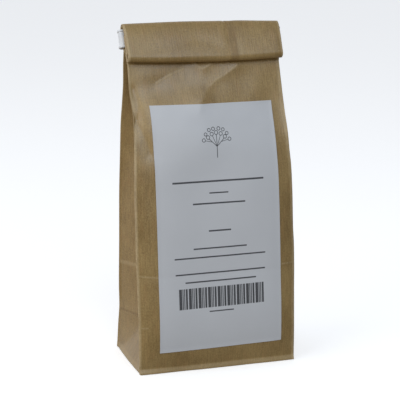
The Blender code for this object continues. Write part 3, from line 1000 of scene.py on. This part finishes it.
class PAPERBAG_OT_bag(bpy.types.Operator):
    """Folds the paper bag: its tube, gussets, rolled top and bottom"""

    bl_idname = "paperbag.bag"
    bl_label = "Paper Bag"

    def execute(self, context):
        settings = context.scene.paperbag_bag
        tube = build_tube()
        front_middle = Vector((0, BAG_BOX[0][1], 60 * MM))
        front = min(tube.data.polygons, key=lambda face: (face.center - front_middle).length)
        turn_towards(tube, (0, -1, 0), front.index)
        apply_modifier(tube, "SOLIDIFY", thickness=settings.thickness, offset=-1.0, use_rim=True)
        join_onto(tube, build_bottom())
        # What reaches below the table is pressed flat on it.
        points = np.array([vertex.co for vertex in tube.data.vertices])
        points[:, 2] = np.maximum(points[:, 2], 0)
        tube.data.vertices.foreach_set("co", points.ravel())
        tube.name = tube.data.name = "kraft_paper_bag"
        smooth_by_angle(tube, 50)
        place(tube, kraft_material(settings), "paper_bag")
        return {"FINISHED"}


class PAPERBAG_OT_label(bpy.types.Operator):
    """Lays the label over the bag's front"""

    bl_idname = "paperbag.label"
    bl_label = "Label"

    def execute(self, context):
        settings = context.scene.paperbag_label
        left, bottom = LABEL_BOX[0][0] / MM, LABEL_BOX[0][2] / MM
        u = np.linspace(0, settings.width, 91)[None, :]
        v = np.linspace(0, settings.height, 171)[:, None]
        x = left + u + 0 * v
        z = bottom + v + settings.tilt * (u / settings.width) * (1 - v / settings.height)
        # It lies just off the paper, and its edges stand off a little more.
        edge = np.minimum(np.minimum(u, settings.width - u), np.minimum(v, settings.height - v))
        lift = 0.05 + 0.02 * ripple(x, z, 12, 31) + 0.13 * bell(edge, 0, 0.9)
        y = front_depth(x, z, 0.4) - lift
        label = sheet("paper_label", np.stack([x, y, z], 2), np.stack(np.broadcast_arrays(u, v), 2))
        turn_towards(label, (0, -1, 0))
        apply_modifier(label, "SOLIDIFY", thickness=settings.thickness, offset=1.0)
        smooth_by_angle(label, 50)
        place(label, label_material(settings), "label")
        return {"FINISHED"}


def band_stops(settings):
    """(x, forward, direction) along the band, from one tip round to the other."""
    offset = LAYER / 2 + BAND_CLEARANCE + settings.bead
    tail = (settings.length - 2 * HALF_WIDTH_FLAT - 2 * math.pi * offset) / 2
    half = [(HALF_WIDTH_FLAT - tail * (1 - t), -offset, (1, 0)) for t in spaced(0, 1, 9, False)]
    for angle in spaced(-math.pi / 2, math.pi / 2, 17):
        x, forward = HALF_WIDTH_FLAT + offset * math.cos(angle), offset * math.sin(angle)
        half.append((x, forward, (-math.sin(angle), math.cos(angle))))
    half += [(HALF_WIDTH_FLAT * (1 - t), offset, (-1, 0)) for t in spaced(0, 1, 13)[1:]]
    mirrored = [(-x, forward, (way[0], -way[1])) for x, forward, way in reversed(half[:-1])]
    return half + mirrored


def band_profile(settings):
    """The band's closed outline as (up, outward): two beads joined by a web."""
    bead = settings.bead
    start = math.asin(settings.web / bead)
    angles = spaced(start, math.tau - start, 18)
    top = [(BEAD_SPACING - bead * math.cos(angle), bead * math.sin(angle)) for angle in angles]
    return top + [(bead * math.cos(angle), -bead * math.sin(angle)) for angle in angles]


def swept(name, stops, profile):
    """A closed profile carried along the band's path, with both ends filled."""
    rows = []
    for x, forward, way in stops:
        row = []
        for up, out in profile + profile[:1]:
            y, z = roll_to_world(forward - way[0] * out, up)
            row.append((x + way[1] * out, y, z))
        rows.append(row)
    obj = sheet(name, np.array(rows))
    in_edit_mode(obj, merge_doubles, fill_ends, face_outwards)
    return obj


def fill_ends():
    bpy.ops.mesh.select_all(action="DESELECT")
    bpy.ops.mesh.select_non_manifold(extend=False, use_boundary=True)
    bpy.ops.mesh.fill_holes(sides=0)
    bpy.ops.mesh.select_all(action="SELECT")


class PAPERBAG_OT_band(bpy.types.Operator):
    """Bends the clip band and its two wires round the rolled top"""

    bl_idname = "paperbag.band"
    bl_label = "Clip Band"

    def execute(self, context):
        settings = context.scene.paperbag_band
        stops = band_stops(settings)
        band = swept("plastic_clip_band", stops, band_profile(settings))
        smooth_by_angle(band, 40)
        place(band, plastic_material(settings), "clip_band")
        steel = steel_material()
        first, *between, last = stops
        ends = [(first[0] - WIRE_END, *first[1:]), *between, (last[0] + WIRE_END, *last[1:])]
        angles = spaced(0, math.tau, 12, False)
        radius = settings.wire
        for name, level in (("lower", 0.0), ("upper", BEAD_SPACING)):
            ring = [(level + radius * math.cos(angle), radius * math.sin(angle)) for angle in angles]
            wire = swept(f"steel_wire_{name}", ends, ring)
            smooth_by_angle(wire, 40)
            place(wire, steel, f"clip_wire_{name}")
        return {"FINISHED"}


def heap_top(x, y):
    """The height of the filling's top over (x, y)."""
    fill = BERRY_BOX[1].z / MM - 5.5
    return fill + 3.5 * (1 - (x / HALF_WIDTH_FLAT) ** 2) * (1 - (y / (GUSSET_PAPER / 2)) ** 2)


def build_heap():
    """The body of the filling, which keeps clear of the paper all round."""
    columns = Columns(front=25, back=15, gusset=9, crease=3, fold=1)
    panel, front = columns.panel, columns.front
    half = HALF_WIDTH_FLAT - 3.5
    rows = []
    for z in spaced(FILL_GAP, 72, 37):
        front_edge, back_edge = float(eased(FRONT_EDGE, z)), float(eased(BACK_EDGE, z))
        fold = max(float(eased(GUSSET_FOLD, z)) - 2.0, 0.4)
        gap = 2 * float(eased(GUSSET_OPEN, z)) + 3.0
        x, y = outline(columns, (half,) * 3, back_edge - front_edge - 2 * FILL_GAP, fold, gap)
        y = y + front_edge + FILL_GAP
        y[front] = front_depth(x[front], np.full(front.sum(), z)) + FILL_GAP
        y[panel] = back_depth(x[panel], np.full(panel.sum(), z)) - FILL_GAP
        x = np.clip(x + 0.25 * ripple(y, z, 4.0, 41), -34, 34)
        row = np.stack([x, y, np.full(len(x), z)], 1)
        # The two ends of the outline meet.
        row[-1] = row[0]
        rows.append(row)
    shrinking = [np.array((scale, scale, 1)) for scale in (0.75, 0.5, 0.25, 0)]
    bottom = [rows[0] * scale for scale in shrinking]
    top = [rows[-1] * scale for scale in shrinking]
    for row in top:
        row[:, 2] = heap_top(row[:, 0], row[:, 1])
    heap = sheet("heap", np.array(bottom[::-1] + rows + top))
    in_edit_mode(heap, merge_doubles, face_outwards)
    return heap


def build_berries(pitch):
    """The loose berries on top: one ball, copied with wrinkles, a squash and a size of its own."""
    rng = np.random.default_rng(17)
    places = []
    for row in range(-4, 5):
        for column in range(-9, 10):
            x = (column + (row % 2) / 2) * pitch + rng.uniform(-0.4, 0.4)
            y = row * pitch * 0.87 + rng.uniform(-0.4, 0.4)
            in_gusset = abs(x) > 20 and abs(y) < 4.5
            if abs(x) < 31 - 0.35 * abs(y) and abs(y) < 14.5 and not in_gusset:
                places.append((x, y))
    bpy.ops.object.select_all(action="DESELECT")
    bpy.ops.mesh.primitive_ico_sphere_add(subdivisions=2, radius=1.0)
    first = bpy.context.object
    shape = np.array([vertex.co for vertex in first.data.vertices])
    copies = []
    for index, (x, y) in enumerate(places):
        berry = first if index == 0 else first.copy()
        if index:
            berry.data = first.data.copy()
            bpy.context.scene.collection.objects.link(berry)
            copies.append(berry)
        wrinkles = 1 + 0.13 * np.sin(shape @ rng.uniform(-5, 5, (3, 3))).sum(1)[:, None] / 1.5
        size = pitch * 0.5 * rng.uniform(0.82, 1.08) * MM
        centre = np.array((x, y, heap_top(x, y) + rng.uniform(0.2, 1.2))) * MM
        squash = np.array((1, rng.uniform(0.85, 1.1), rng.uniform(0.75, 0.95)))
        berry.data.vertices.foreach_set("co", (shape * wrinkles * squash * size + centre).ravel())
    join_onto(first, copies)
    return first


class PAPERBAG_OT_filling(bpy.types.Operator):
    """Fills the bag with dried berries"""

    bl_idname = "paperbag.filling"
    bl_label = "Dried Berries"

    def execute(self, context):
        settings = context.scene.paperbag_berries
        heap = build_heap()
        join_onto(heap, [build_berries(settings.berry)])
        heap.name = heap.data.name = "dried_berries"
        smooth_by_angle(heap, 60)
        place(heap, berry_material(settings), "dried_elderberries")
        return {"FINISHED"}


# The stage, in metres. The camera stands to the left of the bag's front and a little above
# it, and looks this way. The lights all look at one point, and each is (setting, place,
# size, colour).
CAMERA_PLACE = (-0.16779, -0.52282, 0.18704)
CAMERA_WAY = (0.2952, 0.9327, -0.2075)
FLOOR_SIZE = 14.0
LIGHT_AIM = (0.0, 0.0, 0.09)
LIGHTS = (
    ("key", (-1.0, -0.31, 0.5), 1.0, (1.0, 0.985, 0.96)),
    ("front", (-0.02, -0.74, 0.76), 0.6, (0.88, 0.98, 1.08)),
    ("low", (-0.1, -0.88, 0.40), 0.5, (0.94, 0.98, 1.04)),
)

# The light from all round, as stops of (level, colour) with levels from -1 to 1: by height
# before the bag, by height behind it, and, from front to back, how far the second takes over.
LIGHT_BY_HEIGHT = (
    (-1, (0.80, 0.76, 0.70)), (-0.05, (0.76, 0.73, 0.70)), (0.15, (0.76, 0.80, 0.86)),
    (0.6, (0.82, 0.90, 1.0)),
)
LIGHT_BEHIND = (
    (-1, (0.8, 0.8, 0.8)), (-0.4, (1.4, 1.4, 1.45)), (-0.15, (2.6, 2.7, 2.85)), (0.5, (2.1, 2.2, 2.4)),
)
BEHIND = ((0.0, (0, 0, 0)), (0.5, (1, 1, 1)))
BACKDROP = (0.86, 0.87, 0.89, 1)


def world_light(strength):
    """Light from all round, cool from above and warm below, behind a pale backdrop."""
    world = bpy.data.worlds.new("studio")
    bpy.context.scene.world = world
    world.use_nodes = True
    nodes = Nodes(world.node_tree)
    _, depth, height = nodes.split(nodes.node("ShaderNodeTexCoord"))

    def shades(way, levels):
        stops = [((level + 1) / 2, shade) for level, shade in levels]
        return nodes.node("ShaderNodeValToRGB", {"stops": stops}, {0: way * 0.5 + 0.5})

    light = nodes.mix(shades(depth, BEHIND), shades(height, LIGHT_BY_HEIGHT), shades(height, LIGHT_BEHIND))
    tent = nodes.node("ShaderNodeBackground", None, {"Color": light, "Strength": strength})
    backdrop = nodes.node("ShaderNodeBackground", None, {"Color": BACKDROP})
    seen = nodes.node("ShaderNodeLightPath")
    surface = nodes.node("ShaderNodeMixShader", None, {0: seen, 1: tent, 2: backdrop})
    nodes.join(surface, nodes.tree.nodes["World Output"].inputs["Surface"])


def floor_material(glow):
    """A pale, matt floor with faint clouding."""
    shader = Shader("pale floor")
    patches = shader.noise(shader.position(), 3.0, 2.0)
    return shader.finish(
        Base_Color=shader.mix(patches, (0.93, 0.93, 0.93), (0.95, 0.95, 0.95)),
        Roughness=0.9,
        Specular_IOR_Level=0.0,
        Emission_Color=(1, 1, 1, 1),
        Emission_Strength=glow,
    )


def area_light(name, position, size, power, shade):
    bpy.ops.object.light_add(type="AREA", location=position)
    light = bpy.context.object
    light.name = f"{name} light"
    light.rotation_euler = (Vector(LIGHT_AIM) - Vector(position)).to_track_quat("-Z", "Y").to_euler()
    light.data.shape = "SQUARE"
    light.data.size = size
    light.data.energy = power
    light.data.color = shade
    light.visible_camera = False


def add_camera(lens):
    bpy.ops.object.camera_add(location=CAMERA_PLACE)
    camera = bpy.context.object
    camera.name = "camera"
    camera.rotation_euler = Vector(CAMERA_WAY).to_track_quat("-Z", "Y").to_euler()
    camera.data.lens = lens
    camera.data.sensor_width = 36
    bpy.context.scene.camera = camera


class PAPERBAG_OT_stage(bpy.types.Operator):
    """Sets the floor, the lights and the camera"""

    bl_idname = "paperbag.stage"
    bl_label = "Stage"

    def execute(self, context):
        settings = context.scene.paperbag_stage
        bpy.ops.object.select_all(action="DESELECT")
        bpy.ops.mesh.primitive_plane_add(size=FLOOR_SIZE)
        floor = context.object
        floor.name = "floor"
        floor.data.materials.append(floor_material(settings.floor_glow))
        # The floor is seen and takes shadows, and the world alone lights the bag from below.
        floor.visible_diffuse = floor.visible_glossy = floor.visible_shadow = False
        world_light(settings.sky)
        for name, position, size, shade in LIGHTS:
            area_light(name, position, size, getattr(settings, name), shade)
        add_camera(settings.lens)
        context.scene.view_settings.view_transform = "Standard"
        return {"FINISHED"}


class PAPERBAG_PT_panel(bpy.types.Panel):
    """Lists the pieces of the bag and their settings"""

    bl_idname = "PAPERBAG_PT_panel"
    bl_label = "Paper Bag"
    bl_space_type = "VIEW_3D"
    bl_region_type = "UI"
    bl_category = "Paper Bag"

    def draw(self, context):
        for operator, group in PIECES:
            box = self.layout.box()
            box.operator(operator.bl_idname)
            settings = getattr(context.scene, group)
            for name in settings.__annotations__:
                box.prop(settings, name)


PIECES = (
    (PAPERBAG_OT_bag, "paperbag_bag"),
    (PAPERBAG_OT_label, "paperbag_label"),
    (PAPERBAG_OT_band, "paperbag_band"),
    (PAPERBAG_OT_filling, "paperbag_berries"),
    (PAPERBAG_OT_stage, "paperbag_stage"),
)
GROUPS = {
    "paperbag_bag": BagSettings,
    "paperbag_label": LabelSettings,
    "paperbag_band": BandSettings,
    "paperbag_berries": BerrySettings,
    "paperbag_stage": StageSettings,
}
CLASSES = (*GROUPS.values(), *(operator for operator, _ in PIECES), PAPERBAG_PT_panel)


def register():
    for cls in CLASSES:
        bpy.utils.register_class(cls)
    for name, group in GROUPS.items():
        setattr(bpy.types.Scene, name, bpy.props.PointerProperty(type=group))


def unregister():
    for name in GROUPS:
        delattr(bpy.types.Scene, name)
    for cls in reversed(CLASSES):
        bpy.utils.unregister_class(cls)


def main():
    register()
    bpy.ops.paperbag.bag()
    bpy.ops.paperbag.label()
    bpy.ops.paperbag.band()
    bpy.ops.paperbag.filling()
    bpy.ops.paperbag.stage()


if __name__ == "__main__":
    main()
